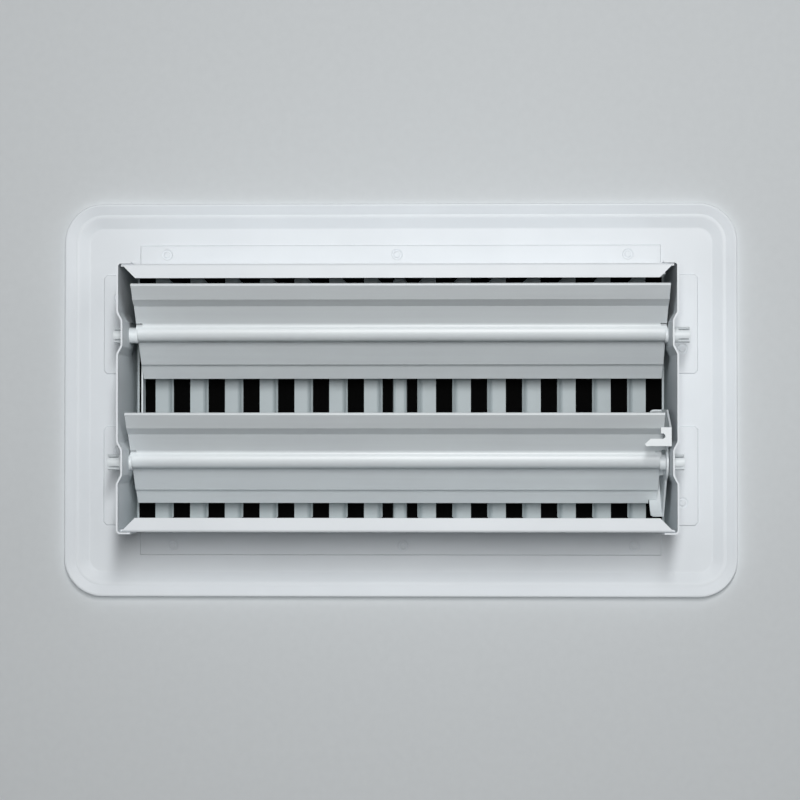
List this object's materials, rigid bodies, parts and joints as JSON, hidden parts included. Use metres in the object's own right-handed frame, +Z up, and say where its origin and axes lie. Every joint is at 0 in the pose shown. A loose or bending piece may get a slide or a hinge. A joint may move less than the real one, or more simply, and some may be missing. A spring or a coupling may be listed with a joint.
{
  "type": "floor register",
  "caption": "White steel floor register with a louvred face, a duct collar and a damper of linked blades worked by a lever.",
  "frame": {"origin": "centre of the floor opening, at the level of the floor surface that the rim rests on", "axes": "+Z up out of the floor, +X along the register towards the lever end, +Y across it towards the lever blade"},
  "size_m": [0.2444, 0.143, 0.0489],
  "materials": {
    "white_powder_coat": "satin",
    "damper_white_enamel": "satin"
  },
  "bodies": {
    "housing": {"face_plate": "white_powder_coat", "long_wall_rear": "white_powder_coat", "long_wall_front": "white_powder_coat", "end_wall_right": "white_powder_coat", "end_wall_left": "white_powder_coat"},
    "lever_blade": {"damper_blade_rear": "damper_white_enamel", "damper_lever": "damper_white_enamel"},
    "front_blade": {"damper_blade_front": "damper_white_enamel"},
    "link": {"link_bar": "damper_white_enamel"}
  },
  "joints": [
    {"name": "damper_swing", "type": "hinge", "parent": "housing", "child": "lever_blade", "pos_m": [0, 0.0223, -0.0264], "axis": [1, 0, 0], "range_deg": [-43, 47]},
    {"name": "front_swing", "type": "hinge", "parent": "housing", "child": "front_blade", "pos_m": [0, -0.0223, -0.0264], "axis": [1, 0, 0], "range_deg": [-43, 47]},
    {"name": "link_swing", "type": "hinge", "parent": "lever_blade", "child": "link", "pos_m": [-0.0927, 0.02794, -0.00473], "axis": [1, 0, 0], "range_deg": [-47, 43]}
  ],
  "couplings": [
    {"joint": "front_swing", "follows": "damper_swing", "ratio": 1},
    {"joint": "link_swing", "follows": "damper_swing", "ratio": -1}
  ]
}
